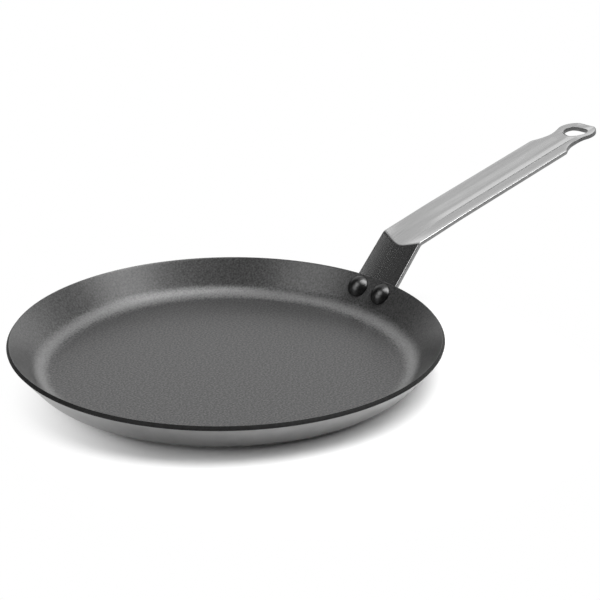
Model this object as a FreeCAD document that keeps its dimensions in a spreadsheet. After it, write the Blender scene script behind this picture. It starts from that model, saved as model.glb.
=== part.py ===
import FreeCAD, Part
import math
import os
import Sketcher

# Crepe pan: a shallow pressed steel pan with a strap handle held by two rivets.
# The frame: origin on the pan's axis at the base, Z up, the handle along +X. Millimetres and degrees.
doc = FreeCAD.newDocument("crepe_pan")

# Driving dimensions
SIZES = [
    # Pan: one pressed sheet, a flat base and a straight flared wall
    ("rim_radius", 110.0, "outer corner of the cut rim, from the axis"),
    ("rim_height", 17.8, "outer corner of the cut rim, above the base"),
    ("sheet", 2.0, "thickness of the pan's sheet"),
    ("wall_angle", 50.0, "slope of the wall and of the handle's foot"),
    ("corner_radius", 18.0, "outside radius between base and wall"),
    ("rim_slant", 13.0, "lean of the cut rim away from square"),
    # Handle: a pressed strap, its foot on the wall, its grip a shallow gutter
    ("strap", 2.5, "thickness of the strap"),
    ("grip_width", 27.1, "width of the strap along the grip"),
    ("grip_slope", 11.1, "slope of the grip"),
    ("eye_reach", 278.5, "centre of the hanging hole, from the pan's axis"),
    ("eye_height", 67.2, "centre of the hanging hole, above the base"),
    ("bend_radius", 5.5, "outside radius of the bend between foot and grip"),
    ("crease_offset", 5.7, "crease beside the gutter, from the middle of the strap"),
    ("crease_rise", 0.8, "crease above the gutter's floor"),
    ("gutter_round", 1.5, "rounding of the gutter's floor"),
    ("lip_width", 5.0, "turned-up lip along each edge of the grip"),
    ("lip_rise", 0.55, "lip's edge above the crease"),
    ("nose_length", 40.0, "stretch of the gutter that deepens towards the bend"),
    ("nose_dip", 3.1, "extra depth of the gutter at the bend"),
    ("hole_diameter", 13.4, "hanging hole"),
    ("eye_radius", 11.4, "outline of the eye round the hanging hole"),
    ("eye_shift", 0.8, "outline's centre, beyond the hole's centre"),
    ("eye_tilt", 4.0, "downward bend of the eye from the grip's slope, at the neck"),
    ("neck_width", 18.9, "narrowest width of the neck"),
    ("neck_distance", 11.4, "narrowest point of the neck, before the hole's centre"),
    ("foot_width", 29.2, "width of the strap at the foot's end"),
    ("foot_drop", 13.6, "foot's end, below the rim along the wall"),
    ("foot_end_radius", 24.0, "rounding of the foot's end"),
    ("foot_lean", 3.0, "outward lean of the foot above the rim"),
    ("seat_clearance", 0.05, "gap between foot and wall"),
    # Rivets: domed heads inside the pan, shanks upset on the handle's foot
    ("rivet_drop", 7.0, "rivet's axis, below the rim along the wall"),
    ("rivet_spacing", 17.0, "between the rivets' axes"),
    ("shank_diameter", 6.0, "rivet's shank"),
    ("shank_clearance", 0.1, "radial gap between shank and hole"),
    ("head_diameter", 12.1, "rivet's domed head"),
    ("head_height", 4.0, "dome's top above the wall"),
    ("head_brim", 0.8, "upright rim under the dome"),
    ("tail_diameter", 9.4, "upset tail on the handle's foot"),
    ("tail_height", 2.0, "tail's top above the foot"),
    ("tail_brim", 0.5, "upright rim under the tail's dome"),
    ("tail_clearance", 0.03, "gap between tail and foot"),
    # Spare length by which blanks and cutting tools run past the work
    ("overrun", 4.0, "run of a blank or tool past the piece"),
    ("seat_sink", 0.6, "run of a rivet's head or tail into what it is cut to fit"),
]

sheet = doc.addObject("Spreadsheet::Sheet", "sizes")
for row, (alias, value, note) in enumerate(SIZES, start=1):
    sheet.set(f"A{row}", note)
    sheet.set(f"B{row}", str(value))
    sheet.setAlias(f"B{row}", alias)
doc.recompute()


def size(alias):
    """A driving dimension, as the sheet holds it."""
    return float(sheet.get(alias))


def point(along, up):
    """A point or direction in a sketch's or a section's plane."""
    return FreeCAD.Vector(along, up, 0)


def primitive(kind, label, place, **formulas):
    """A primitive whose place and sizes are formulas over the sheet."""
    item = doc.addObject("Part::" + kind, label)
    item.setExpression("Placement", place)
    for name, formula in formulas.items():
        item.setExpression(name, formula)
    return item


def boolean(kind, label, **links):
    """A boolean of earlier objects."""
    item = doc.addObject("Part::" + kind, label)
    for name, value in links.items():
        setattr(item, name, value)
    return item


def place(along, across, up, yaw="0", pitch="0"):
    """A formula for a place."""
    base = f"create(<<vector>>; {along}; {across}; {up})"
    return f"create(<<placement>>; {base}; create(<<rotation>>; {yaw}; {pitch}; 0))"


# Slanted frames. Both have X up the slope and Z square to it. The wall's starts at the rim's outer corner,
# the grip's at the hanging hole's centre on the gutter's floor.
WALL = place("sizes.rim_radius", "0", "sizes.rim_height", pitch="-sizes.wall_angle")
GRIP = place("sizes.eye_reach", "0", "sizes.eye_height", pitch="-sizes.grip_slope")

# Swing of a rivet about the pan's axis, and its place on the wall
RIVET_RADIUS = "(sizes.rim_radius - sizes.rivet_drop * cos(sizes.wall_angle))"
RIVET_YAW = f"asin(sizes.rivet_spacing / 2 / {RIVET_RADIUS})"
SIDES = {"left": "", "right": "-"}


def rivet_frame(side):
    """A rivet's frame: Z along its axis into the pan, origin on the wall's outer face."""
    swing = place("0", "0", "0", yaw=SIDES[side] + RIVET_YAW)
    return f"{swing} * {WALL} * {place('-sizes.rivet_drop', '0', '0')}"


def section_sketch(label):
    """A body and a sketch in its upright XZ plane, ready to be turned about Z."""
    body = doc.addObject("PartDesign::Body", label)
    plane = next(item for item in body.Origin.OriginFeatures if item.Role == "XZ_Plane")
    sketch = body.newObject("Sketcher::SketchObject", label + "_section")
    sketch.AttachmentSupport = (plane, "")
    sketch.MapMode = "FlatFace"
    return body, sketch


def turn(body, sketch):
    """Revolve a section about Z into the body's solid."""
    feature = body.newObject("PartDesign::Revolution", body.Name + "_turned")
    feature.Profile = sketch
    feature.ReferenceAxis = (sketch, ["V_Axis"])
    feature.Angle = 360
    body.Tip = feature


def dimension(sketch, formula, *constraint):
    """A driven dimension of a sketch."""
    number = sketch.addConstraint(Sketcher.Constraint(*constraint))
    sketch.setExpression(f"Constraints[{number}]", formula)


START, END, CENTRE = 1, 2, 3
ORIGIN = (-1, 1)
UPRIGHT = -2


# Pan: a section of even thickness, turned about the axis
def pan_shell():
    body, sketch = section_sketch("pan_shell")
    thick = size("sheet")
    slope = math.radians(size("wall_angle"))
    up = point(math.cos(slope), math.sin(slope))
    inward = point(-math.sin(slope), math.cos(slope))
    rim_out = point(size("rim_radius"), size("rim_height"))
    rim_in = rim_out + inward * thick + up * (thick * math.tan(math.radians(size("rim_slant"))))

    def corner(rim, level, radius):
        """Start, middle and end of the round between a flat at a level and the wall."""
        foot = rim - up * ((rim.y - level) / up.y)
        run = radius * math.tan(slope / 2)
        flat = foot - point(run, 0)
        middle = flat + point(math.sin(slope / 2), 1 - math.cos(slope / 2)) * radius
        return flat, middle, foot + up * run

    out_flat, out_middle, out_wall = corner(rim_out, 0, size("corner_radius"))
    in_flat, in_middle, in_wall = corner(rim_in, thick, size("corner_radius") - thick)
    base = sketch.addGeometry(Part.LineSegment(point(0, 0), out_flat))
    out_round = sketch.addGeometry(Part.Arc(out_flat, out_middle, out_wall))
    out_side = sketch.addGeometry(Part.LineSegment(out_wall, rim_out))
    rim = sketch.addGeometry(Part.LineSegment(rim_out, rim_in))
    in_side = sketch.addGeometry(Part.LineSegment(rim_in, in_wall))
    in_round = sketch.addGeometry(Part.Arc(in_flat, in_middle, in_wall))
    floor = sketch.addGeometry(Part.LineSegment(in_flat, point(0, thick)))
    axis = sketch.addGeometry(Part.LineSegment(point(0, thick), point(0, 0)))
    sketch.addConstraint([
        Sketcher.Constraint("Coincident", base, START, *ORIGIN),
        Sketcher.Constraint("Tangent", base, END, out_round, START),
        Sketcher.Constraint("Tangent", out_round, END, out_side, START),
        Sketcher.Constraint("Coincident", out_side, END, rim, START),
        Sketcher.Constraint("Coincident", rim, END, in_side, START),
        Sketcher.Constraint("Tangent", in_side, END, in_round, END),
        Sketcher.Constraint("Tangent", in_round, START, floor, START),
        Sketcher.Constraint("Coincident", floor, END, axis, START),
        Sketcher.Constraint("Coincident", axis, END, *ORIGIN),
        Sketcher.Constraint("Horizontal", base),
        Sketcher.Constraint("Horizontal", floor),
        Sketcher.Constraint("Vertical", axis),
        Sketcher.Constraint("Parallel", out_side, in_side),
    ])
    square = slope + math.radians(90 - size("rim_slant"))
    dimension(sketch, "sizes.rim_radius", "DistanceX", *ORIGIN, out_side, END, rim_out.x)
    dimension(sketch, "sizes.rim_height", "DistanceY", *ORIGIN, out_side, END, rim_out.y)
    dimension(sketch, "sizes.sheet", "DistanceY", axis, END, axis, START, thick)
    dimension(sketch, "sizes.corner_radius", "Radius", out_round, size("corner_radius"))
    dimension(sketch, "sizes.corner_radius - sizes.sheet", "Radius", in_round, size("corner_radius") - thick)
    dimension(sketch, "sizes.wall_angle", "Angle", out_side, slope)
    dimension(sketch, "sizes.sheet", "Distance", in_side, START, out_side, thick)
    dimension(sketch, "sizes.wall_angle + 90 - sizes.rim_slant", "Angle", rim, square)
    turn(body, sketch)
    return body


# Rivet: a domed head, a shank and an upset tail, turned about the rivet's axis
def rivet_blank(side):
    body, sketch = section_sketch("rivet_blank_" + side)
    inside = "sizes.sheet"
    outside = "(sizes.strap + sizes.seat_clearance)"
    shank = size("shank_diameter") / 2
    head = size("head_diameter") / 2
    tail = size("tail_diameter") / 2
    head_seat = size("sheet") - size("seat_sink")
    head_brim = size("sheet") + size("head_brim")
    head_top = size("sheet") + size("head_height")
    tail_seat = size("seat_sink") - size("strap") - size("seat_clearance")
    tail_brim = -size("strap") - size("seat_clearance") - size("tail_brim")
    tail_top = -size("strap") - size("seat_clearance") - size("tail_height")

    def dome(radius, brim, top):
        """The arc from the brim to the top, its centre on the axis."""
        rise = top - brim
        bow = (radius ** 2 + rise ** 2) / (2 * rise)
        half = math.asin(radius / abs(bow)) / 2
        middle = point(abs(bow) * math.sin(half), top - bow * (1 - math.cos(half)))
        return Part.Arc(point(radius, brim), middle, point(0, top))

    axis = sketch.addGeometry(Part.LineSegment(point(0, head_top), point(0, tail_top)))
    head_dome = sketch.addGeometry(dome(head, head_brim, head_top))
    head_side = sketch.addGeometry(Part.LineSegment(point(head, head_brim), point(head, head_seat)))
    head_under = sketch.addGeometry(Part.LineSegment(point(head, head_seat), point(shank, head_seat)))
    side_line = sketch.addGeometry(Part.LineSegment(point(shank, head_seat), point(shank, tail_seat)))
    tail_under = sketch.addGeometry(Part.LineSegment(point(shank, tail_seat), point(tail, tail_seat)))
    tail_side = sketch.addGeometry(Part.LineSegment(point(tail, tail_seat), point(tail, tail_brim)))
    tail_dome = sketch.addGeometry(dome(tail, tail_brim, tail_top))
    # The head's dome runs anticlockwise from brim to top, the tail's is stored from top to brim
    sketch.addConstraint([
        Sketcher.Constraint("Coincident", axis, START, head_dome, END),
        Sketcher.Constraint("Coincident", head_dome, START, head_side, START),
        Sketcher.Constraint("Coincident", head_side, END, head_under, START),
        Sketcher.Constraint("Coincident", head_under, END, side_line, START),
        Sketcher.Constraint("Coincident", side_line, END, tail_under, START),
        Sketcher.Constraint("Coincident", tail_under, END, tail_side, START),
        Sketcher.Constraint("Coincident", tail_side, END, tail_dome, END),
        Sketcher.Constraint("Coincident", tail_dome, START, axis, END),
        Sketcher.Constraint("PointOnObject", axis, START, UPRIGHT),
        Sketcher.Constraint("PointOnObject", axis, END, UPRIGHT),
        Sketcher.Constraint("PointOnObject", head_dome, CENTRE, UPRIGHT),
        Sketcher.Constraint("PointOnObject", tail_dome, CENTRE, UPRIGHT),
        Sketcher.Constraint("Vertical", head_side),
        Sketcher.Constraint("Vertical", side_line),
        Sketcher.Constraint("Vertical", tail_side),
        Sketcher.Constraint("Horizontal", head_under),
        Sketcher.Constraint("Horizontal", tail_under),
    ])
    dimension(sketch, "sizes.head_diameter / 2", "DistanceX", *ORIGIN, head_side, START, head)
    dimension(sketch, f"{inside} + sizes.head_brim", "DistanceY", *ORIGIN, head_side, START, head_brim)
    dimension(sketch, f"{inside} - sizes.seat_sink", "DistanceY", *ORIGIN, head_side, END, head_seat)
    dimension(sketch, f"{inside} + sizes.head_height", "DistanceY", *ORIGIN, axis, START, head_top)
    dimension(sketch, "sizes.shank_diameter / 2", "DistanceX", *ORIGIN, side_line, START, shank)
    dimension(sketch, "sizes.tail_diameter / 2", "DistanceX", *ORIGIN, tail_side, START, tail)
    dimension(sketch, f"{outside} - sizes.seat_sink", "DistanceY", tail_side, START, *ORIGIN, -tail_seat)
    dimension(sketch, f"{outside} + sizes.tail_brim", "DistanceY", tail_side, END, *ORIGIN, -tail_brim)
    dimension(sketch, f"{outside} + sizes.tail_height", "DistanceY", axis, END, *ORIGIN, -tail_top)
    turn(body, sketch)
    body.setExpression("Placement", rivet_frame(side))
    return body


# Handle: sections of the strap in upright planes beside its middle one, lofted across
def strap_section(offset):
    """The strap's closed outline at an offset from its middle plane: foot, bend, nose, grip and eye."""
    half = size("grip_width") / 2
    crease = size("crease_offset")
    rounding = size("gutter_round")
    bow = math.hypot(min(abs(offset), crease), rounding) - rounding
    rise = size("crease_rise") * bow / (math.hypot(crease, rounding) - rounding)
    # The lip curls up to the edge; past the edge the blank runs on straight
    curl = max(0, abs(offset) - half + size("lip_width")) / size("lip_width")
    rise += size("lip_rise") * (curl ** 2 if curl <= 1 else 2 * curl - 1)
    dip = size("nose_dip") * max(0, 1 - (offset / half) ** 2)

    slope = math.radians(size("grip_slope"))
    along = point(math.cos(slope), math.sin(slope))
    square = point(-math.sin(slope), math.cos(slope))
    eye = point(size("eye_reach"), size("eye_height")) + square * rise
    wall = math.radians(size("wall_angle"))
    lean = wall - math.radians(size("foot_lean"))

    def on_wall(height):
        """The wall's outer cone, one clearance off it, at a height in this plane."""
        radius = size("rim_radius") + (height - size("rim_height")) / math.tan(wall)
        radius += size("seat_clearance") / math.sin(wall)
        return point(math.sqrt(radius ** 2 - offset ** 2), height)

    def crossing(first, heading, second, other):
        """Where two lines of this plane meet."""
        apart = second - first
        return first + heading * (apart.cross(other).z / heading.cross(other).z)

    foot_end = on_wall(size("rim_height") - (size("foot_drop") + size("overrun")) * math.sin(wall))
    foot_rim = on_wall(size("rim_height"))
    up_seat = (foot_rim - foot_end).normalize()
    up_foot = point(math.cos(lean), math.sin(lean))
    mitre = crossing(foot_rim, up_foot, eye - square * dip, along)
    nose_end = eye + along * (along.dot(mitre - eye) + size("nose_length"))
    nose_pull = nose_end - along * (size("nose_length") / 2)
    up_nose = (nose_pull - mitre).normalize()
    tilt = slope - math.radians(size("eye_tilt"))
    along_eye = point(math.cos(tilt), math.sin(tilt))
    neck = eye - along * size("neck_distance")
    beyond = size("neck_distance") + size("eye_shift") + size("eye_radius") + size("overrun")
    tip = neck + along_eye * beyond

    def under(heading):
        """The way down through the strap, square to a heading."""
        return point(heading.y, -heading.x)

    def corner(spot, before, after, depth):
        """The corner under one of the top's, where the heading changes there."""
        return spot + (under(before) + under(after)) * (depth / (1 + before.dot(after)))

    def face(depth):
        """The edges of the strap's face at a depth under its top, from the foot's end to the tip."""
        low = foot_end + under(up_seat) * depth
        knee = corner(foot_rim, up_seat, up_foot, depth)
        bend = corner(mitre, up_foot, up_nose, depth)
        pull = corner(nose_pull, up_nose, along, depth)
        flat = nose_end + under(along) * depth
        turn_down = corner(neck, along, along_eye, depth)
        last = tip + under(along_eye) * depth
        angle = up_foot.getAngle(up_nose)
        radius = size("bend_radius") - depth
        before = bend - up_foot * (radius * math.tan(angle / 2))
        after = bend + up_nose * (radius * math.tan(angle / 2))
        inset = (up_nose - up_foot).normalize() * (radius / math.cos(angle / 2) - radius)
        return [low, knee, before, bend + inset, after, pull, flat, turn_down, last]

    def upright(spot):
        return FreeCAD.Vector(spot.x, offset, spot.y)

    def path(spots):
        low, knee, before, middle, after, pull, flat, turn_down, last = spots
        nose = Part.BezierCurve()
        nose.setPoles([after, pull, flat])
        return [
            Part.LineSegment(low, knee).toShape(),
            Part.LineSegment(knee, before).toShape(),
            Part.Arc(before, middle, after).toShape(),
            nose.toShape(),
            Part.LineSegment(flat, turn_down).toShape(),
            Part.LineSegment(turn_down, last).toShape(),
        ]

    top = [upright(spot) for spot in face(0)]
    bottom = [upright(spot) for spot in face(size("strap"))]
    closing = [
        Part.LineSegment(top[-1], bottom[-1]).toShape(),
        Part.LineSegment(bottom[0], top[0]).toShape(),
    ]
    return Part.Wire(path(top) + closing[:1] + path(bottom)[::-1] + closing[1:])


def strap_blank():
    """The pressed strap before its outline is cut: the gutter, and a flat and a lip at each side of it."""
    crease = size("crease_offset")
    half = size("grip_width") / 2
    lip = half - size("lip_width")
    edge = max(half, size("foot_width") / 2) + size("overrun")
    bands = [[-crease, -crease / 2, 0, crease / 2, crease]]
    for side in (-1, 1):
        bands.append([side * crease, side * (crease + lip) / 2, side * lip])
        bands.append([side * lip, side * (lip + half) / 2, side * half])
        bands.append([side * half, side * edge])
    lofts = [Part.makeLoft([strap_section(offset) for offset in band], True, False) for band in bands]
    item = doc.addObject("Part::Feature", "strap_blank")
    item.Shape = lofts[0].fuse(lofts[1:])
    return item


def strap_outline():
    """What the strap's blank is cut to: a tapering foot, an even grip, a neck and a round eye."""
    tall = "2 * (sizes.crease_rise + sizes.lip_rise + sizes.strap + sizes.nose_dip + sizes.overrun)"
    low = f"-{tall} / 2"
    # The neck's hollow sides touch the eye's round
    reach = "(sizes.neck_distance + sizes.eye_shift)"
    hollow = (
        f"(({reach}^2 + (sizes.neck_width / 2)^2 - sizes.eye_radius^2)"
        " / (2 * sizes.eye_radius - sizes.neck_width))"
    )
    touch = f"(sizes.eye_shift - {reach} * sizes.eye_radius / (sizes.eye_radius + {hollow}))"
    grip_run = "(sizes.eye_reach - sizes.rim_radius)"
    grip = primitive(
        "Box", "grip_outline", f"{GRIP} * {place(f'-{grip_run}', '-sizes.grip_width / 2', low)}",
        Length=f"{grip_run} + {touch}", Width="sizes.grip_width", Height=tall,
    )
    eye = primitive(
        "Cylinder", "eye_outline", f"{GRIP} * {place('sizes.eye_shift', '0', low)}",
        Radius="sizes.eye_radius", Height=tall,
    )
    hollows = [
        primitive(
            "Cylinder", "neck_" + side,
            f"{GRIP} * {place('-sizes.neck_distance', f'{sign}(sizes.neck_width / 2 + {hollow})', low)}",
            Radius=hollow, Height=tall,
        )
        for side, sign in SIDES.items()
    ]
    # The foot narrows from its rounded end to the bend; its wedge lies along the wall's slope
    grip_start = f"(sizes.eye_height - {grip_run} * tan(sizes.grip_slope))"
    foot_run = f"(sizes.foot_drop + ({grip_start} - sizes.rim_height) / sin(sizes.wall_angle))"
    taper = primitive(
        "Wedge", "foot_taper", f"{WALL} * {place('-sizes.foot_drop', '0', '0', yaw='-90')}",
        Xmin="-sizes.foot_width / 2", Xmax="sizes.foot_width / 2",
        X2min="-sizes.grip_width / 2", X2max="sizes.grip_width / 2",
        Ymin="0", Ymax=foot_run, Zmin=low, Zmax=f"{tall} / 2", Z2min=low, Z2max=f"{tall} / 2",
    )
    rounding = primitive(
        "Cylinder", "foot_rounding", f"{WALL} * {place('sizes.foot_end_radius - sizes.foot_drop', '0', low)}",
        Radius="sizes.foot_end_radius", Height=tall,
    )
    above_rounding = primitive(
        "Box", "foot_above_rounding",
        f"{WALL} * {place('sizes.foot_end_radius - sizes.foot_drop', '-sizes.foot_end_radius', low)}",
        Length=foot_run, Width="2 * sizes.foot_end_radius", Height=tall,
    )
    plain = boolean("MultiFuse", "grip_and_eye", Shapes=[grip, eye])
    sides = boolean("MultiFuse", "neck_sides", Shapes=hollows)
    necked = boolean("Cut", "grip_plan", Base=plain, Tool=sides)
    foot_end = boolean("MultiFuse", "foot_end", Shapes=[rounding, above_rounding])
    foot = boolean("MultiCommon", "foot_plan", Shapes=[taper, foot_end])
    return boolean("MultiFuse", "strap_outline", Shapes=[necked, foot])


# The pieces
pan = pan_shell()
drill_start = place("0", "0", "-sizes.strap - sizes.overrun")
rivet_holes = boolean("MultiFuse", "rivet_holes", Shapes=[
    primitive(
        "Cylinder", "rivet_hole_" + side, f"{rivet_frame(side)} * {drill_start}",
        Radius="sizes.shank_diameter / 2 + sizes.shank_clearance",
        Height="sizes.strap + sizes.sheet + 2 * sizes.overrun",
    )
    for side in SIDES
])
pan_body = boolean("Cut", "pan_body", Base=pan, Tool=rivet_holes)
strap = boolean("MultiCommon", "strap_cut_out", Shapes=[strap_blank(), strap_outline()])
hanging_hole = primitive(
    "Cylinder", "hanging_hole", f"{GRIP} * {drill_start}",
    Radius="sizes.hole_diameter / 2", Height="sizes.strap + sizes.crease_rise + 2 * sizes.overrun",
)
handle_holes = boolean("MultiFuse", "handle_holes", Shapes=[hanging_hole, rivet_holes])
handle = boolean("Cut", "handle", Base=strap, Tool=handle_holes)
pieces = [pan_body, handle]
# The tails are cut to the foot's outer face, a cone that stands off the wall
wall_spread = "sizes.rim_height / tan(sizes.wall_angle)"
stand_off = "(sizes.seat_clearance + sizes.strap + sizes.tail_clearance) / sin(sizes.wall_angle)"
cones = [
    primitive(
        "Cone", "foot_cone_" + face, place("0", "0", "0"),
        Radius1=f"sizes.rim_radius - {wall_spread} + {offset}", Radius2=f"sizes.rim_radius + {offset}",
        Height="sizes.rim_height",
    )
    for face, offset in {"outer": stand_off, "inner": "0"}.items()
]
foot_layer = boolean("Cut", "foot_layer", Base=cones[0], Tool=cones[1])
drilled_layer = boolean("Cut", "drilled_foot_layer", Base=foot_layer, Tool=rivet_holes)
for side in SIDES:
    fitted = boolean("Cut", "rivet_fitted_" + side, Base=rivet_blank(side), Tool=pan_body)
    pieces.append(boolean("Cut", "rivet_" + side, Base=fitted, Tool=drilled_layer))
doc.recompute()

# Checks and files
for item in doc.Objects:
    faults = {"Invalid", "Error"} & set(item.State)
    if faults:
        raise RuntimeError(f"{item.Name}: {faults}")
os.makedirs("parts", exist_ok=True)
for piece in pieces:
    shape = piece.Shape
    if shape.isNull() or not shape.isValid() or len(shape.Solids) != 1:
        raise RuntimeError(f"{piece.Label}: {len(shape.Solids)} solids")
    shape.exportStep(f"parts/{piece.Label}.step")
    print(piece.Label, round(shape.Volume), "cubic millimetres")
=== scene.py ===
import math

import bpy
from mathutils import Matrix, Vector


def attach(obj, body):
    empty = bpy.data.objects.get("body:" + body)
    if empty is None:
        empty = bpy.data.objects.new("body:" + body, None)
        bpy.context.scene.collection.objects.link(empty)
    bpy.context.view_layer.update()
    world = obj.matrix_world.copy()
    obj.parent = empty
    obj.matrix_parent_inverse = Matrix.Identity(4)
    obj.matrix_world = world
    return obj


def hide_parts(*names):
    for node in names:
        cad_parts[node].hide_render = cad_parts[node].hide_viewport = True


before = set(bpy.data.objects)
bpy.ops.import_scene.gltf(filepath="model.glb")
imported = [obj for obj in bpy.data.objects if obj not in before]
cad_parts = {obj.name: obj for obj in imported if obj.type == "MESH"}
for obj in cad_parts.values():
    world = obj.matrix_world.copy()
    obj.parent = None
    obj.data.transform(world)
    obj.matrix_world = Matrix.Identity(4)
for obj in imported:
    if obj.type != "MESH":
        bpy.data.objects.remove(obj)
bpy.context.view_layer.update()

# Pan
# One disc of sheet steel, pressed into a flat base and a low flared wall, its rim left as it was cut.
# The inside is sprayed with a flecked non-stick coating that runs over the rim. The outside is bare steel.
MM = 0.001
SHEET = 2.0 * MM
RIM_RADIUS = 110.0 * MM
RIM_HEIGHT = 17.8 * MM
WALL_SLOPE = math.radians(50.0)
CORNER_RADIUS = 18.0 * MM
RIM_SLANT = math.radians(13.0)
RIM_ROUND = 0.3 * MM
RIM_BAND = 0.9 * MM
PAN_SEGMENTS = 288
CORNER_STEPS = 20
LIP_STEPS = 4

up_wall = Vector((math.cos(WALL_SLOPE), math.sin(WALL_SLOPE)))
into_pan = Vector((-math.sin(WALL_SLOPE), math.cos(WALL_SLOPE)))
rim_outer = Vector((RIM_RADIUS, RIM_HEIGHT))
rim_inner = rim_outer + into_pan * SHEET + up_wall * (SHEET * math.tan(RIM_SLANT))
corner_middle = Vector((
    RIM_RADIUS - RIM_HEIGHT / math.tan(WALL_SLOPE) - CORNER_RADIUS * math.tan(WALL_SLOPE / 2),
    CORNER_RADIUS,
))


def arc(middle, radius, first, last, steps):
    """Points of a circular arc, angles in radians."""
    angles = [first + (last - first) * step / steps for step in range(steps + 1)]
    return [middle + Vector((math.cos(angle), math.sin(angle))) * radius for angle in angles]


def rounded_corner(before, corner, after, radius, steps):
    """The corner of two straight runs, rounded off."""
    back = (before - corner).normalized()
    on = (after - corner).normalized()
    half = back.angle(on) / 2
    trim = radius / math.tan(half)
    points = []
    for step in range(steps + 1):
        share = step / steps
        first = corner + back * trim * (1 - share)
        last = corner + on * trim * share
        points.append(first.lerp(last, share))
    return points


def turned(rows, segments):
    """Vertices and faces of a section turned about Z, and each face's band.

    A row on the axis is a single point.
    """
    vertices = []
    rings = []
    for radius, height in rows:
        if radius == 0.0:
            rings.append([len(vertices)])
            vertices.append((0.0, 0.0, height))
            continue
        rings.append(list(range(len(vertices), len(vertices) + segments)))
        for step in range(segments):
            angle = 2 * math.pi * step / segments
            vertices.append((radius * math.cos(angle), radius * math.sin(angle), height))
    faces = []
    band_of_face = []
    for band, (lower, upper) in enumerate(zip(rings, rings[1:])):
        for step in range(segments):
            following = (step + 1) % segments
            if len(lower) == 1:
                face = (lower[0], upper[step], upper[following])
            elif len(upper) == 1:
                face = (lower[step], upper[0], lower[following])
            else:
                face = (lower[step], upper[step], upper[following], lower[following])
            faces.append(face)
            band_of_face.append(band)
    return vertices, faces, band_of_face


def solid(name, vertices, faces, finishes, finish_of_face=None):
    """A smooth closed piece at the origin, in world coordinates."""
    mesh = bpy.data.meshes.new(name)
    mesh.from_pydata(vertices, [], faces)
    mesh.validate()
    for material in finishes:
        mesh.materials.append(material)
    mesh.polygons.foreach_set("use_smooth", [True] * len(mesh.polygons))
    if finish_of_face:
        mesh.polygons.foreach_set("material_index", finish_of_face)
    mesh.update()
    piece = bpy.data.objects.new(name, mesh)
    bpy.context.scene.collection.objects.link(piece)
    return piece


def linear(code):
    """An sRGB hex colour as linear RGBA."""
    channels = [int(code[place:place + 2], 16) / 255 for place in (1, 3, 5)]
    return [c / 12.92 if c <= 0.04045 else ((c + 0.055) / 1.055) ** 2.4 for c in channels] + [1.0]


def add(tree, kind, settings=None, **inputs):
    """A node with its settings. An input is a value or the socket that feeds it.

    An input is named as its socket, with _ for a space, or n and its number.
    """
    item = tree.nodes.new(kind)
    for name, value in (settings or {}).items():
        setattr(item, name, value)
    for name, value in inputs.items():
        key = int(name[1:]) if name[0] == "n" and name[1:].isdigit() else name.replace("_", " ")
        socket = item.inputs[key]
        if isinstance(value, bpy.types.NodeSocket):
            tree.links.new(value, socket)
        else:
            socket.default_value = value
    return item


def finish(name):
    """A new material and its node tree, emptied."""
    material = bpy.data.materials.new(name)
    material.use_nodes = True
    material.node_tree.nodes.clear()
    return material, material.node_tree


def set_shades(ramp, stops):
    """The stops of a colour ramp, each a noise value and a hex colour, in rising order."""
    while len(ramp.elements) < len(stops):
        ramp.elements.new(1.0)
    for element, (position, colour) in zip(ramp.elements, stops):
        element.position = position
        element.color = linear(colour)


def mottled(name, grain, dark, pale, roughness, detail=2.0, crumble=0.5, metallic=1.0, specular=0.5):
    """A finish of two close shades, in noise whose grain has a size along each axis."""
    material, tree = finish(name)
    place = add(tree, "ShaderNodeTexCoord").outputs["Object"]
    scaled = add(tree, "ShaderNodeVectorMath", {"operation": "DIVIDE"}, n0=place, n1=grain).outputs[0]
    noise = add(tree, "ShaderNodeTexNoise", Vector=scaled, Scale=1.0, Detail=detail, Roughness=crumble)
    shade = add(tree, "ShaderNodeValToRGB", Fac=noise.outputs["Fac"])
    set_shades(shade.color_ramp, [(0.3, dark), (0.7, pale)])
    shader = add(tree, "ShaderNodeBsdfPrincipled", Base_Color=shade.outputs["Color"], Metallic=metallic,
                 Roughness=roughness, Specular_IOR_Level=specular)
    add(tree, "ShaderNodeOutputMaterial", Surface=shader.outputs["BSDF"])
    return material


inside_run = arc(corner_middle, CORNER_RADIUS - SHEET, -math.pi / 2, WALL_SLOPE - math.pi / 2, CORNER_STEPS)
outside_run = arc(corner_middle, CORNER_RADIUS, WALL_SLOPE - math.pi / 2, -math.pi / 2, CORNER_STEPS)
floor_rows = [Vector((corner_middle.x * share, SHEET)) for share in (0.0, 0.25, 0.5, 0.75, 0.93)]
inside_wall = [inside_run[-1].lerp(rim_inner, share) for share in (0.25, 0.5, 0.75, 0.9)]
inner_lip = rounded_corner(inside_run[-1], rim_inner, rim_outer, RIM_ROUND, LIP_STEPS)
outer_lip = rounded_corner(rim_inner, rim_outer, outside_run[0], RIM_ROUND, LIP_STEPS)
outside_wall = [rim_outer.lerp(outside_run[0], share) for share in (0.2, 0.4, 0.7)]
base_rows = [Vector((corner_middle.x * share, 0.0)) for share in (0.9, 0.5, 0.0)]

# The rim's finish starts midway round the inner lip and ends a little below the outer one
pan_rows = floor_rows + inside_run + inside_wall + inner_lip
coated_bands = len(pan_rows) - 1 - LIP_STEPS // 2
pan_rows += outer_lip + [rim_outer - up_wall * RIM_BAND]
cut_bands = len(pan_rows) - 1
pan_rows += outside_wall + outside_run + base_rows

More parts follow.
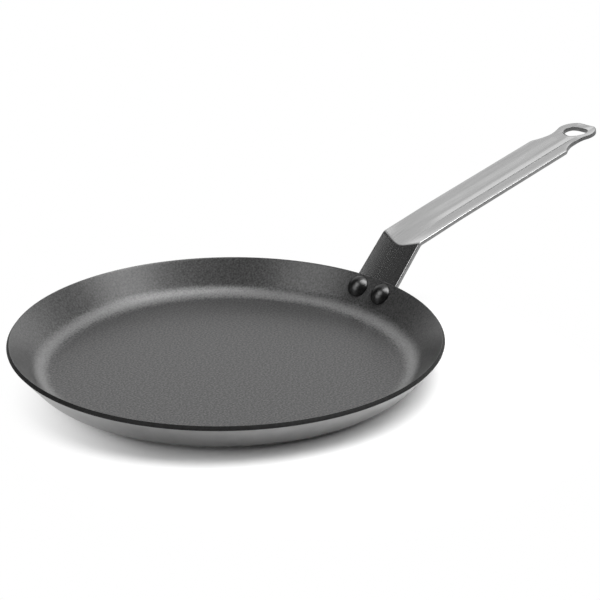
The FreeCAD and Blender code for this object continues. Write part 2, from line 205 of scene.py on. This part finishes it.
# The coating gives a dark satin grey full of pale flecks, fainter on the wall, and a paler ring painted on
# the rounded corner between floor and wall as a highlight. The real flecks are too fine to show in the
# render, so they are drawn a millimetre across.
FLECK = 1.0 * MM
FLECK_BUMP = 0.2 * MM
HIGHLIGHT_RING_START = 88.5 * MM
HIGHLIGHT_RING_MIDDLE = 94.0 * MM
HIGHLIGHT_RING_END = 98.5 * MM
PAINTED_HIGHLIGHT_PALENESS = 0.4
WALL_START = 100.0 * MM
WALL_FLECK_SHARE = 0.5
NOISE_MIDDLE = 0.5
TIMES = {"operation": "MULTIPLY"}
TIMES_PLUS = {"operation": "MULTIPLY_ADD"}
SMOOTH = {"interpolation_type": "SMOOTHSTEP"}
coating, tree = finish("Flecked non-stick coating")
place = add(tree, "ShaderNodeTexCoord").outputs["Object"]
flecks = add(tree, "ShaderNodeTexNoise", Vector=place, Scale=1 / FLECK, Detail=2.0, Roughness=0.6)
flecks = flecks.outputs["Fac"]
level = add(tree, "ShaderNodeVectorMath", TIMES, n0=place, n1=(1.0, 1.0, 0.0))
radius = add(tree, "ShaderNodeVectorMath", {"operation": "LENGTH"}, n0=level.outputs[0]).outputs["Value"]
# The paler ring is a painted highlight on the rounded corner between floor and wall
inner = add(tree, "ShaderNodeMapRange", SMOOTH, Value=radius, From_Min=HIGHLIGHT_RING_START, From_Max=HIGHLIGHT_RING_MIDDLE)
outer = add(tree, "ShaderNodeMapRange", SMOOTH, Value=radius, From_Min=HIGHLIGHT_RING_END, From_Max=HIGHLIGHT_RING_MIDDLE)
highlight_ring = add(tree, "ShaderNodeMath", TIMES, n0=inner.outputs[0], n1=outer.outputs[0])
strength = add(tree, "ShaderNodeMapRange", Value=radius, From_Min=HIGHLIGHT_RING_MIDDLE, From_Max=WALL_START,
               To_Min=1.0, To_Max=WALL_FLECK_SHARE)
fleck = add(tree, "ShaderNodeMath", {"operation": "SUBTRACT"}, n0=flecks, n1=NOISE_MIDDLE)
painted_highlight = add(tree, "ShaderNodeMath", TIMES_PLUS, n0=highlight_ring.outputs[0], n1=PAINTED_HIGHLIGHT_PALENESS, n2=NOISE_MIDDLE)
tone = add(tree, "ShaderNodeMath", TIMES_PLUS, n0=fleck.outputs[0], n1=strength.outputs[0],
           n2=painted_highlight.outputs[0])
shade = add(tree, "ShaderNodeValToRGB", Fac=tone.outputs[0])
set_shades(shade.color_ramp, [(0.4, "#232323"), (0.62, "#535353"), (0.95, "#727272")])
grit = add(tree, "ShaderNodeBump", Strength=0.13, Distance=FLECK_BUMP, Height=flecks)
shader = add(tree, "ShaderNodeBsdfPrincipled", Base_Color=shade.outputs["Color"], Roughness=0.3,
             Normal=grit.outputs["Normal"])
add(tree, "ShaderNodeOutputMaterial", Surface=shader.outputs["BSDF"])

# The rim gives a crisp near-black line, a little rough where the spray caught the cut. The grain of the cut
# is drawn coarser than it is, so that it shows.
CUT_GRAIN = 1.7 * MM
cut_edge = mottled("Coated cut rim", [CUT_GRAIN] * 3, "#101010", "#1E1E1E", 0.6, metallic=0.0, specular=0.2)

# The outside gives an even mid grey with no sharp reflection, faintly clouded as rolled sheet is
CLOUD = 8.3 * MM
bare_steel = mottled("Bare satin sheet steel", [CLOUD] * 3, "#A4A4A4", "#AEAEAE", 0.4,
                     detail=4.0, crumble=0.6)

vertices, faces, band_of_face = turned(pan_rows, PAN_SEGMENTS)
finish_of_face = [0 if band < coated_bands else 1 if band < cut_bands else 2 for band in band_of_face]
pan = solid("pan", vertices, faces, [coating, cut_edge, bare_steel], finish_of_face)
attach(pan, "root")
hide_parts("pan_body")

# Handle
# A strap of rolled steel, blanked to its outline and pressed, its foot riveted to the outside of the wall.
# The foot is hollowed to lie on the wall. The grip is a gutter between two creases, deeper towards the
# bend, with its edges turned up and its end necked to a hanging eye.
STRAP = 2.5 * MM
GRIP_HALF = 13.55 * MM
GRIP_SLOPE = math.radians(11.1)
EYE = Vector((278.5, 67.2)) * MM
BEND_RADIUS = 5.5 * MM
CREASE_OFFSET = 5.7 * MM
CREASE_RISE = 0.8 * MM
RIDGE_RISE = 0.2 * MM
RIDGE_WIDTH = 0.045 * MM
RIDGE_FADE_SHARE = 0.03
GUTTER_ROUND = 1.5 * MM
LIP_WIDTH = 5.0 * MM
LIP_RISE = 0.55 * MM
EDGE_ROUND = 0.5 * MM
HOLE_ROUND = 0.35 * MM
NOSE_LENGTH = 40.0 * MM
NOSE_DIP = 3.1 * MM
NOSE_EXTRA = 0.4 * MM
NOSE_ROUND = 4.0 * MM
HOLE_RADIUS = 6.7 * MM
EYE_RADIUS = 11.4 * MM
EYE_SHIFT = 0.8 * MM
EYE_TILT = math.radians(4.5)
TILT_RUN = 4.0 * MM
NECK_HALF = 9.45 * MM
NECK_DISTANCE = 11.4 * MM
NECK_EASE = 0.9
NECK_RUN = 6.0 * MM
NECKED_SHARE = 0.97
SHOULDER_ROUND = 0.8 * MM
FOOT_HALF = 14.6 * MM
FOOT_DROP = 13.6 * MM
FOOT_END_RADIUS = 24.0 * MM
FOOT_LEAN = math.radians(3.0)
SEAT_CLEARANCE = 0.05 * MM
CORE_HALF = 6.4 * MM

along_grip = Vector((math.cos(GRIP_SLOPE), math.sin(GRIP_SLOPE)))
off_grip = Vector((-math.sin(GRIP_SLOPE), math.cos(GRIP_SLOPE)))
neck_reach = NECK_DISTANCE + EYE_SHIFT
hollow_radius = (neck_reach ** 2 + NECK_HALF ** 2 - EYE_RADIUS ** 2) / (2 * (EYE_RADIUS - NECK_HALF))
hollow_middle = Vector((-NECK_DISTANCE, NECK_HALF + hollow_radius))
eye_middle = Vector((EYE_SHIFT, 0.0))
touch = eye_middle.lerp(hollow_middle, EYE_RADIUS / (EYE_RADIUS + hollow_radius))


def soft_least(first, second, blend):
    """The lesser of two values, eased over where they cross."""
    near = max(blend - abs(first - second), 0.0)
    return min(first, second) - near * near / (4 * blend)


def trough(across, half, rounding):
    """A share that is 0 in the middle of a round-bottomed trough and 1 at its sides."""
    return (math.hypot(across, rounding) - rounding) / (math.hypot(half, rounding) - rounding)


def gutter(across, ridge):
    """Height of the strap's top over the gutter's floor, with a low ridge along each crease."""
    past = abs(across) - CREASE_OFFSET
    if past > 0:
        return CREASE_RISE + ridge * max(0.0, 1 - past / RIDGE_WIDTH)
    return (CREASE_RISE + ridge) * trough(across, CREASE_OFFSET, GUTTER_ROUND)


def lip(distance, reach):
    """How far the turned-up lip stands at a distance from the edge. It is lower at the neck."""
    ease = 1 - NECK_EASE * math.exp(-((reach + NECK_DISTANCE) / NECK_RUN) ** 2)
    return LIP_RISE * ease * max(0.0, 1 - distance / LIP_WIDTH) ** 3


def eye_droop(reach):
    """How far the eye hangs below the grip's slope, from a soft bend that starts at the neck."""
    past = max(0.0, reach + NECK_DISTANCE)
    eased = past ** 2 / (2 * TILT_RUN) if past < TILT_RUN else past - TILT_RUN / 2
    return math.tan(EYE_TILT) * eased


def grip_half(reach):
    """Half the strap's width at a distance beyond the hanging hole's centre."""
    drop = math.sqrt(max(0.0, hollow_radius ** 2 - (reach - hollow_middle.x) ** 2))
    return soft_least(GRIP_HALF, hollow_middle.y - drop, SHOULDER_ROUND)


def edge_round(distance, radius):
    """How far either face draws in beside a rounded edge."""
    short = max(0.0, radius - distance)
    return radius - math.sqrt(radius ** 2 - short ** 2)


def crossing(first, heading, second, other):
    """Where two lines of an upright plane meet."""
    apart = second - first
    turn = heading.x * other.y - heading.y * other.x
    return first + heading * ((apart.x * other.y - apart.y * other.x) / turn)


def on_wall(slant, across):
    """The wall's outer face, one clearance off it, at a distance up the slope from the rim."""
    height = RIM_HEIGHT + slant * math.sin(WALL_SLOPE)
    radius = RIM_RADIUS + slant * math.cos(WALL_SLOPE) + SEAT_CLEARANCE / math.sin(WALL_SLOPE)
    return Vector((math.sqrt(radius ** 2 - across ** 2), height))


def left_of(heading):
    """A heading turned a quarter to the left."""
    return Vector((-heading.y, heading.x))


def formed_share(stretch, share):
    """How far the grip's section is formed: not at all up to the bend, then more along the nose."""
    return {"nose": share * share * (3 - 2 * share), "grip": 1.0}.get(stretch, 0.0)


def strap_spot(stretch, share, across, lift=0.0, ridge=0.0):
    """A point of the strap's top and the way out of it, in the upright plane at a distance across."""
    formed = formed_share(stretch, share)
    rise = CREASE_RISE + (gutter(across, ridge) - CREASE_RISE) * formed + lift
    dip = (NOSE_DIP + NOSE_EXTRA * (1 - formed)) * max(0.0, 1 - trough(across, GRIP_HALF, NOSE_ROUND))
    eye = EYE + off_grip * rise
    foot_rim = on_wall(0.0, across)
    end_round = FOOT_END_RADIUS - math.sqrt(FOOT_END_RADIUS ** 2 - across ** 2)
    foot_end = on_wall(end_round - FOOT_DROP, across)
    if stretch == "seat":
        return foot_end.lerp(foot_rim, share), left_of((foot_rim - foot_end).normalized())
    lean = WALL_SLOPE - FOOT_LEAN
    up_foot = Vector((math.cos(lean), math.sin(lean)))
    mitre = crossing(foot_rim, up_foot, eye - off_grip * dip, along_grip)
    flat = eye + along_grip * (along_grip.dot(mitre - eye) + NOSE_LENGTH)
    pull = flat - along_grip * (NOSE_LENGTH / 2)
    up_nose = (pull - mitre).normalized()
    angle = up_foot.angle(up_nose)
    trim = BEND_RADIUS * math.tan(angle / 2)
    before = mitre - up_foot * trim
    after = mitre + up_nose * trim
    if stretch == "foot":
        return foot_rim.lerp(before, share), left_of(up_foot)
    if stretch == "bend":
        out = left_of(up_foot)
        middle = before - out * BEND_RADIUS
        cosine = math.cos(-angle * share)
        sine = math.sin(-angle * share)
        out = Vector((out.x * cosine - out.y * sine, out.x * sine + out.y * cosine))
        return middle + out * BEND_RADIUS, out
    if stretch == "nose":
        first = after.lerp(pull, share)
        second = pull.lerp(flat, share)
        return first.lerp(second, share), left_of((second - first).normalized())
    reach = along_grip.dot(flat - eye)
    return eye + along_grip * (reach + (-NECK_DISTANCE - reach) * share), off_grip


def outline_distance(reach, across):
    """Distance from the outline of neck and eye, for a point inside it."""
    if reach < touch.x:
        return (Vector((reach, abs(across))) - hollow_middle).length - hollow_radius
    return EYE_RADIUS - math.hypot(reach - EYE_SHIFT, across)


# Where the strap is sampled, in mm: distances from its edge, the first of them over the rounding and just
# past it, places across its middle, and places about the ridge on each crease
rounding_steps = [0.0, 0.03, 0.12, 0.25, 0.44, 0.62, 0.8]
edge_steps = rounding_steps + [1.1, 1.5, 2.0, 2.7, 3.4, 4.2, 5.0, 6.0]
middle_steps = [0.0, 0.5, 1.0, 1.6, 2.3, 3.1, 3.9, 4.7, 5.3]
ridge_steps = [-0.01, 0.0, 0.005, 0.04, 0.045, 0.055]
core = [step * MM for step in middle_steps]
core += [CREASE_OFFSET + step * MM for step in ridge_steps] + [CORE_HALF]
core = [-place for place in reversed(core[1:])] + core


def across_at(half):
    """Places across the strap, from one edge to the other, each with its distance from the edge.

    They close up where the strap is narrower than the grip.
    """
    room = half - CORE_HALF
    full_room = GRIP_HALF - CORE_HALF
    side = []
    for step in edge_steps:
        distance = step * MM
        if distance > EDGE_ROUND and room < full_room:
            distance = EDGE_ROUND + (distance - EDGE_ROUND) * (room - EDGE_ROUND) / (full_room - EDGE_ROUND)
        side.append((half - distance, distance))
    left = [(-place, distance) for place, distance in side]
    middle = [(place, half - abs(place)) for place in core]
    return left + middle + side[::-1]


# Stations along the strap, each a stretch and a share of it, closest at the foot's end and at the neck
NECK_STRETCH_SHARE = 1 / 6
seat_steps = 8
grip_steps = 20
neck_steps = 28
stations = [("seat", share) for share in (0.0, 0.0015, 0.006, 0.0125, 0.022, 0.031, 0.0405, 0.08)]
stations += [("seat", step / seat_steps) for step in range(1, seat_steps)]
for stretch, steps in (("foot", 12), ("bend", 14), ("nose", 24)):
    stations += [(stretch, step / steps) for step in range(steps)]
neck_start = 1 - NECK_STRETCH_SHARE
stations += [("grip", neck_start * step / grip_steps) for step in range(grip_steps)]
for step in range(neck_steps + 1):
    stations.append(("grip", neck_start + NECK_STRETCH_SHARE * step / neck_steps))

# Faces are listed by the finish that they take. A sheared edge is dull over more of its rounding than a
# rolled one, and the steep outer side of each ridge takes the sheared edge's dark finish as painted shade in
# the crease.
SHEARED_STEPS = 4
ROLLED_STEPS = 2
vertices = []
faces = []
sheared_and_shaded_faces = []
rolled_faces = []
columns = []
kinds = []
for stretch, share in stations:
    # Away from the grip the reach is far from the neck, and the foot narrows evenly from its end to the bend
    reach = -EYE.x
    half = GRIP_HALF
    ridge = RIDGE_RISE * {"nose": share, "grip": min(1.0, (1 - share) / RIDGE_FADE_SHARE)}.get(stretch, 0.0)
    if stretch in ("seat", "foot"):
        position = share / 2 if stretch == "seat" else 0.5 + share / 2
        half = FOOT_HALF + (GRIP_HALF - FOOT_HALF) * position
    elif stretch == "grip":
        spot, _ = strap_spot(stretch, share, 0.0)
        reach = along_grip.dot(spot - EYE)
        half = grip_half(reach)
    column = []
    for across, distance in across_at(half):
        lift = formed_share(stretch, share) * lip(distance, reach)
        spot, out = strap_spot(stretch, share, across, lift, ridge)
        if stretch == "seat":
            distance = min(distance, share * FOOT_DROP)
        drawn_in = edge_round(distance, EDGE_ROUND)
        top = spot - out * drawn_in
        under = spot - out * (STRAP - drawn_in)
        column.append((len(vertices), len(vertices) + 1))
        vertices.append((top.x, across, top.y))
        vertices.append((under.x, across, under.y))
    columns.append(column)
    kinds.append((half < NECKED_SHARE * GRIP_HALF, ridge > 0))

# The ridge's outer side is three strips, past the edge's own and two plain ones. They take painted shade.
first_shaded = len(edge_steps) + 2
last_shaded = first_shaded + 2
for before, after, (necked, ridged) in zip(columns, columns[1:], kinds):
    edge_width = SHEARED_STEPS if necked else ROLLED_STEPS
    edge_part = sheared_and_shaded_faces if necked else rolled_faces
    strips = zip(before, after, after[1:], before[1:])
    for number, strip in enumerate(strips):
        (top_a, under_a), (top_b, under_b), (top_c, under_c), (top_d, under_d) = strip
        beside = min(number, len(before) - 2 - number)
        crease_shaded = ridged and first_shaded <= beside <= last_shaded
        part = edge_part if beside < edge_width else sheared_and_shaded_faces if crease_shaded else faces
        part.append((top_a, top_b, top_c, top_d))
        part.append((under_d, under_c, under_b, under_a))
    edge_part.append((before[0][0], before[0][1], after[0][1], after[0][0]))
    edge_part.append((before[-1][0], after[-1][0], after[-1][1], before[-1][1]))
for (top_a, under_a), (top_b, under_b) in zip(columns[0], columns[0][1:]):
    sheared_and_shaded_faces.append((top_a, top_b, under_b, under_a))

# The eye: rows from the neck's last column and the outline to the hanging hole
EYE_ROWS = 22
NECK_SIDE_STEPS = 18
EYE_SIDE_STEPS = 84
neck_line = [(-NECK_DISTANCE, across) for across, _ in across_at(grip_half(-NECK_DISTANCE))]
touch_turn = math.atan2(touch.y - hollow_middle.y, touch.x - hollow_middle.x)
neck_side = arc(hollow_middle, hollow_radius, -math.pi / 2, touch_turn, NECK_SIDE_STEPS)[1:]
eye_turn = math.atan2(touch.y, touch.x - EYE_SHIFT)
round_side = arc(eye_middle, EYE_RADIUS, eye_turn, -eye_turn, EYE_SIDE_STEPS)[1:-1]
outline = [tuple(spot) for spot in neck_side + round_side]
outline += [(spot.x, -spot.y) for spot in reversed(neck_side)]
plain_rows = EYE_ROWS - 2 * (len(rounding_steps) - 1)
eye_columns = []
for number, (reach, across) in enumerate(neck_line + outline):
    turn = math.atan2(across, reach)
    inner = (HOLE_RADIUS * math.cos(turn), HOLE_RADIUS * math.sin(turn))
    length = math.hypot(reach - inner[0], across - inner[1])
    if 0 < number < len(neck_line) - 1:
        shares = [row / EYE_ROWS for row in range(EYE_ROWS + 1)]
    else:
        rounding = [step * MM / length for step in rounding_steps]
        gap = (1 - 2 * rounding[-1]) / plain_rows
        shares = rounding + [rounding[-1] + gap * row for row in range(1, plain_rows)]
        shares += [1 - share for share in reversed(rounding)]
    column = []
    for row, share in enumerate(shares):
        if row == 0 and number < len(neck_line):
            column.append(columns[-1][number])
            continue
        spot_reach = reach + (inner[0] - reach) * share
        spot_across = across + (inner[1] - across) * share
        beside = max(outline_distance(spot_reach, spot_across), 0.0)
        rise = gutter(spot_across, 0.0) + lip(beside, spot_reach) - eye_droop(spot_reach)
        spot = EYE + along_grip * spot_reach + off_grip * rise
        beside_hole = max(math.hypot(spot_reach, spot_across) - HOLE_RADIUS, 0.0)
        drawn_in = edge_round(beside, EDGE_ROUND) + edge_round(beside_hole, HOLE_ROUND)
        top = spot - off_grip * drawn_in
        under = spot - off_grip * (STRAP - drawn_in)
        column.append((len(vertices), len(vertices) + 1))
        vertices.append((top.x, spot_across, top.y))
        vertices.append((under.x, spot_across, under.y))
    eye_columns.append(column)
for number, before in enumerate(eye_columns):
    after = eye_columns[(number + 1) % len(eye_columns)]
    on_outline = number >= len(neck_line) - 1
    strips = zip(before, after, after[1:], before[1:])
    for row, strip in enumerate(strips):
        (top_a, under_a), (top_b, under_b), (top_c, under_c), (top_d, under_d) = strip
        at_edge = row < SHEARED_STEPS and on_outline or row >= EYE_ROWS - SHEARED_STEPS
        part = sheared_and_shaded_faces if at_edge else faces
        part.append((top_d, top_c, top_b, top_a))
        part.append((under_a, under_b, under_c, under_d))
    if on_outline:
        sheared_and_shaded_faces.append((before[0][0], after[0][0], after[0][1], before[0][1]))
    sheared_and_shaded_faces.append((after[-1][0], before[-1][0], before[-1][1], after[-1][1]))

# The strap gives a soft silvery sheen, with faint streaks along its length from the rolling of the strip.
# Real rolling lines are too fine to show, so the streaks are drawn wider.
STREAK_LENGTH = 16.7 * MM
STREAK_WIDTH = 0.71 * MM
steel = mottled("Satin steel", [STREAK_LENGTH, STREAK_WIDTH, STREAK_LENGTH], "#C8C8C8", "#D6D6D6", 0.2,
                detail=3.0, crumble=0.6)

# The sheared edges give a thin dull line, darker than the faces and broken by the marks of the die. The same
# finish is painted shade on the steep outer side of each ridge. The marks are drawn coarser than they are,
# so that they show.
DIE_MARK = 2.0 * MM
sheared_edge_and_shade = mottled("Sheared steel edge and painted crease shade", [DIE_MARK] * 3, "#5E5E5E", "#727272", 0.4)

# The long edges give a thin mid-grey line, smoother than the sheared ones because the strip was rolled.
# The marks of the rolls are drawn coarser too.
ROLL_MARK = 3.3 * MM
rolled = mottled("Rolled steel edge", [ROLL_MARK] * 3, "#828282", "#929292", 0.4)

finish_of_face = [0] * len(faces) + [1] * len(sheared_and_shaded_faces) + [2] * len(rolled_faces)
faces += sheared_and_shaded_faces + rolled_faces
handle = solid("handle_strap", vertices, faces, [steel, sheared_edge_and_shade, rolled], finish_of_face)
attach(handle, "root")
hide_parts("handle")

# Rivets
# Two blued steel rivets through the wall and the handle's foot, which they hold together.
# Their domed heads are inside the pan, and their tails are upset on the foot.
HEAD_RADIUS = 6.05 * MM
HEAD_HEIGHT = 4.0 * MM
HEAD_BRIM = 0.8 * MM
HEAD_STEPS = 16
TAIL_RADIUS = 4.7 * MM
TAIL_HEIGHT = 2.0 * MM
TAIL_BRIM = 0.5 * MM
TAIL_STEPS = 12
RIVET_COUNT = 2
RIVET_DROP = 7.0 * MM
RIVET_SPACING = 17.0 * MM
RIVET_SINK = 0.15 * MM
RIVET_SEGMENTS = 64


def dome(radius, brim, top, steps):
    """Section of a cap from its brim to its top, which may lie below it."""
    rise = top - brim
    bow = (radius ** 2 + rise ** 2) / (2 * rise)
    reach = math.asin(radius / abs(bow))
    rows = []
    for step in range(steps + 1):
        angle = reach * (1 - step / steps)
        rows.append((abs(bow) * math.sin(angle), top - bow * (1 - math.cos(angle))))
    return rows


# The section starts at the tail. Between tail and head it is hidden in foot and wall, and runs straight.
foot_face = -(STRAP + SEAT_CLEARANCE)
rivet_rows = dome(TAIL_RADIUS, foot_face - TAIL_BRIM, foot_face - TAIL_HEIGHT, TAIL_STEPS)[::-1]
rivet_rows += [(TAIL_RADIUS, foot_face + RIVET_SINK), (HEAD_RADIUS, SHEET - RIVET_SINK)]
rivet_rows += dome(HEAD_RADIUS, SHEET + HEAD_BRIM, SHEET + HEAD_HEIGHT, HEAD_STEPS)
vertices, faces, _ = turned(rivet_rows, RIVET_SEGMENTS)

# The heads give a dark gunmetal shine with a soft highlight, pitted by the blow of the set. The pits are
# drawn coarser than they are, so that they show.
PIT = 1.1 * MM
dark_steel = mottled("Dark blued steel", [PIT] * 3, "#4A4A4A", "#585858", 0.3)
rivets = solid("rivets", vertices, [face[::-1] for face in faces], [dark_steel])

rivet_radius = RIM_RADIUS - RIVET_DROP * math.cos(WALL_SLOPE)
rivet_inputs = {
    "Count": ("NodeSocketInt", RIVET_COUNT),
    "Pitch radius": ("NodeSocketFloat", rivet_radius),
    "Height": ("NodeSocketFloat", RIM_HEIGHT - RIVET_DROP * math.sin(WALL_SLOPE)),
    "Swing": ("NodeSocketFloat", math.asin(RIVET_SPACING / 2 / rivet_radius)),
    "Tilt": ("NodeSocketFloat", -WALL_SLOPE),
    "Finish": ("NodeSocketMaterial", dark_steel),
}
tree = bpy.data.node_groups.new("Set rivets round the rim", "GeometryNodeTree")
tree.interface.new_socket("Geometry", in_out="INPUT", socket_type="NodeSocketGeometry")
identifiers = {}
for name, (kind, _) in rivet_inputs.items():
    identifiers[name] = tree.interface.new_socket(name, in_out="INPUT", socket_type=kind).identifier
tree.interface.new_socket("Geometry", in_out="OUTPUT", socket_type="NodeSocketGeometry")

# The first rivet swings to one side of the handle's middle and the second to the other
given = add(tree, "NodeGroupInput").outputs
index = add(tree, "GeometryNodeInputIndex").outputs["Index"]
side = add(tree, "ShaderNodeMath", TIMES_PLUS, n0=index, n1=2.0, n2=-1.0).outputs[0]
swing = add(tree, "ShaderNodeMath", TIMES, n0=side, n1=given["Swing"]).outputs[0]
cosine = add(tree, "ShaderNodeMath", {"operation": "COSINE"}, n0=swing).outputs[0]
sine = add(tree, "ShaderNodeMath", {"operation": "SINE"}, n0=swing).outputs[0]
spot_x = add(tree, "ShaderNodeMath", TIMES, n0=cosine, n1=given["Pitch radius"]).outputs[0]
spot_y = add(tree, "ShaderNodeMath", TIMES, n0=sine, n1=given["Pitch radius"]).outputs[0]
spot = add(tree, "ShaderNodeCombineXYZ", X=spot_x, Y=spot_y, Z=given["Height"]).outputs[0]
angles = add(tree, "ShaderNodeCombineXYZ", Y=given["Tilt"], Z=swing).outputs[0]
turn = add(tree, "FunctionNodeEulerToRotation", Euler=angles).outputs[0]
points = add(tree, "GeometryNodePoints", Count=given["Count"], Position=spot).outputs[0]
placed = add(tree, "GeometryNodeInstanceOnPoints", Points=points, Instance=given["Geometry"], Rotation=turn)
made = add(tree, "GeometryNodeRealizeInstances", Geometry=placed.outputs[0])
made = add(tree, "GeometryNodeSetMaterial", Geometry=made.outputs[0], Material=given["Finish"])
add(tree, "NodeGroupOutput", Geometry=made.outputs[0])

modifier = rivets.modifiers.new("Rivets", "NODES")
modifier.node_group = tree
for name, (_, value) in rivet_inputs.items():
    modifier[identifiers[name]] = value
depsgraph = bpy.context.evaluated_depsgraph_get()
set_rivets = bpy.data.meshes.new_from_object(rivets.evaluated_get(depsgraph))
rivets.modifiers.clear()
rivets.data = set_rivets
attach(rivets, "root")
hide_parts("rivet_left", "rivet_right")

# Studio
# A white table in a dim surround, with soft panels of light behind, overhead and to both sides, and a
# camera above the pan's front. Places here have X to the camera's right, and are turned to the pan's frame.
HANDLE_TURN = math.radians(41.6)
TABLE_HALF = 6.0
SHADOW_MIDDLE = Vector((0.04, -0.03, 0.0))
SHADOW_CORE = 95.0 * MM
SHADOW_EDGE = 150.0 * MM
studio_turn = Matrix.Rotation(-HANDLE_TURN, 3, "Z")

# The table keeps the pan's shadow near it. Further off it is plain white to the eye and in reflections.
floor_mesh = bpy.data.meshes.new("table")
corners = [(-TABLE_HALF, -TABLE_HALF, 0), (TABLE_HALF, -TABLE_HALF, 0), (TABLE_HALF, TABLE_HALF, 0),
           (-TABLE_HALF, TABLE_HALF, 0)]
floor_mesh.from_pydata(corners, [], [(0, 1, 2, 3)])
white, tree = finish("White table")
matt = add(tree, "ShaderNodeBsdfPrincipled", Base_Color=linear("#FFFFFF"), Roughness=0.9)
plain = add(tree, "ShaderNodeEmission", Color=linear("#FFFFFF"), Strength=1.0)
place = add(tree, "ShaderNodeTexCoord").outputs["Object"]
middle = studio_turn @ SHADOW_MIDDLE
away = add(tree, "ShaderNodeVectorMath", {"operation": "DISTANCE"}, n0=place, n1=middle).outputs["Value"]
clear = add(tree, "ShaderNodeMapRange", SMOOTH, Value=away, From_Min=SHADOW_CORE, From_Max=SHADOW_EDGE)
ray = add(tree, "ShaderNodeLightPath").outputs
seen = ray["Is Camera Ray"]
for kind in ("Is Glossy Ray", "Is Transmission Ray"):
    seen = add(tree, "ShaderNodeMath", {"operation": "MAXIMUM"}, n0=seen, n1=ray[kind]).outputs[0]
share = add(tree, "ShaderNodeMath", TIMES, n0=seen, n1=clear.outputs[0]).outputs[0]
shader = add(tree, "ShaderNodeMixShader", n0=share, n1=matt.outputs["BSDF"], n2=plain.outputs[0])
add(tree, "ShaderNodeOutputMaterial", Surface=shader.outputs[0])
floor_mesh.materials.append(white)
table = bpy.data.objects.new("table", floor_mesh)
bpy.context.scene.collection.objects.link(table)

world = bpy.data.worlds.new("Studio")
world.use_nodes = True
bpy.context.scene.world = world
tree = world.node_tree
tree.nodes.clear()
toward = add(tree, "ShaderNodeTexCoord").outputs["Generated"]
toward = add(tree, "ShaderNodeVectorRotate", {"rotation_type": "Z_AXIS"}, Vector=toward, Angle=HANDLE_TURN)
toward = toward.outputs[0]
sideways, behind, upward = add(tree, "ShaderNodeSeparateXYZ", Vector=toward).outputs
bearing = add(tree, "ShaderNodeMath", {"operation": "ARCTAN2"}, n0=behind, n1=sideways).outputs[0]


def panel(strength, left, right, top):
    """A wide panel with soft borders, each given as where the light is gone and where it is full.

    The sides are bearings in degrees, 0 at the right and 90 behind. The top is the sine of a height.
    """
    light = strength
    sides = [[math.radians(angle) for angle in border] for border in (left, right)]
    for measure, (gone, full) in zip((bearing, bearing, upward), (*sides, top)):
        share = add(tree, "ShaderNodeMapRange", SMOOTH, Value=measure, From_Min=gone, From_Max=full)
        light = add(tree, "ShaderNodeMath", TIMES, n0=share.outputs[0], n1=light).outputs[0]
    return light


def softbox(strength, turn, rise, full, gone):
    """A round panel at a bearing and height, in degrees.

    It is full within one angle of its middle and gone at another.
    """
    turn, rise, full, gone = [math.radians(angle) for angle in (turn, rise, full, gone)]
    aim = (math.cos(rise) * math.cos(turn), math.cos(rise) * math.sin(turn), math.sin(rise))
    facing = add(tree, "ShaderNodeVectorMath", {"operation": "DOT_PRODUCT"}, n0=toward, n1=aim)
    share = add(tree, "ShaderNodeMapRange", SMOOTH, Value=facing.outputs["Value"],
                From_Min=math.cos(gone), From_Max=math.cos(full))
    return add(tree, "ShaderNodeMath", TIMES, n0=share.outputs[0], n1=strength).outputs[0]


# The bank overhead is an ellipse about its middle, as seen from below, and ends above the horizon
BANK_STRENGTH = 4.4
BANK_MIDDLE = (0.25, -0.06)
BANK_HALF = (0.4, 0.3)
BANK_GONE = 1.12
BANK_FULL = 0.88
BANK_FOOT = 0.1
bank_scale = [1 / half for half in BANK_HALF] + [0.0]
bank_shift = [-middle / half for middle, half in zip(BANK_MIDDLE, BANK_HALF)] + [0.0]
spread = add(tree, "ShaderNodeVectorMath", TIMES_PLUS, n0=toward, n1=bank_scale, n2=bank_shift).outputs[0]
spread = add(tree, "ShaderNodeVectorMath", {"operation": "LENGTH"}, n0=spread).outputs["Value"]
bank = add(tree, "ShaderNodeMapRange", SMOOTH, Value=spread, From_Min=BANK_GONE, From_Max=BANK_FULL)
bank = add(tree, "ShaderNodeMath", TIMES, n0=bank.outputs[0], n1=BANK_STRENGTH)
above = add(tree, "ShaderNodeMapRange", SMOOTH, Value=upward, From_Min=0.0, From_Max=BANK_FOOT)
bank = add(tree, "ShaderNodeMath", TIMES, n0=above.outputs[0], n1=bank.outputs[0]).outputs[0]

# A tall pale backdrop behind, low panels behind and at the right, the bank, and softboxes round about
SURROUND = 0.04
total = SURROUND
for light in (
    panel(0.6, left=(135, 112), right=(-10, 35), top=(0.96, 0.9)),
    panel(0.3, left=(150, 125), right=(10, 50), top=(0.5, 0.33)),
    panel(0.5, left=(70, 50), right=(-10, 20), top=(0.5, 0.4)),
    softbox(1.7, turn=205, rise=16, full=10, gone=24),
    bank,
    softbox(2.6, turn=18, rise=62, full=10, gone=22),
    softbox(3.4, turn=345, rise=45, full=8, gone=20),
    softbox(2.95, turn=209, rise=48, full=8, gone=20),
    softbox(0.15, turn=66, rise=57, full=6, gone=14),
):
    total = add(tree, "ShaderNodeMath", {"operation": "ADD"}, n0=light, n1=total).outputs[0]
background = add(tree, "ShaderNodeBackground", Color=total, Strength=1.0)
add(tree, "ShaderNodeOutputWorld", Surface=background.outputs[0])

CAMERA_PLACE = Vector((0.0, -0.86042, 0.38036))
CAMERA_HEADING = Vector((0.03999, 0.92777, -0.37100))
camera = bpy.data.cameras.new("camera")
camera.lens = 111.0
camera.sensor_width = 36.0
camera.clip_end = 50.0
viewer = bpy.data.objects.new("camera", camera)
bpy.context.scene.collection.objects.link(viewer)
viewer.location = studio_turn @ CAMERA_PLACE
viewer.rotation_euler = (studio_turn @ CAMERA_HEADING).to_track_quat("-Z", "Y").to_euler()
bpy.context.scene.camera = viewer
bpy.context.scene.view_settings.view_transform = "Standard"
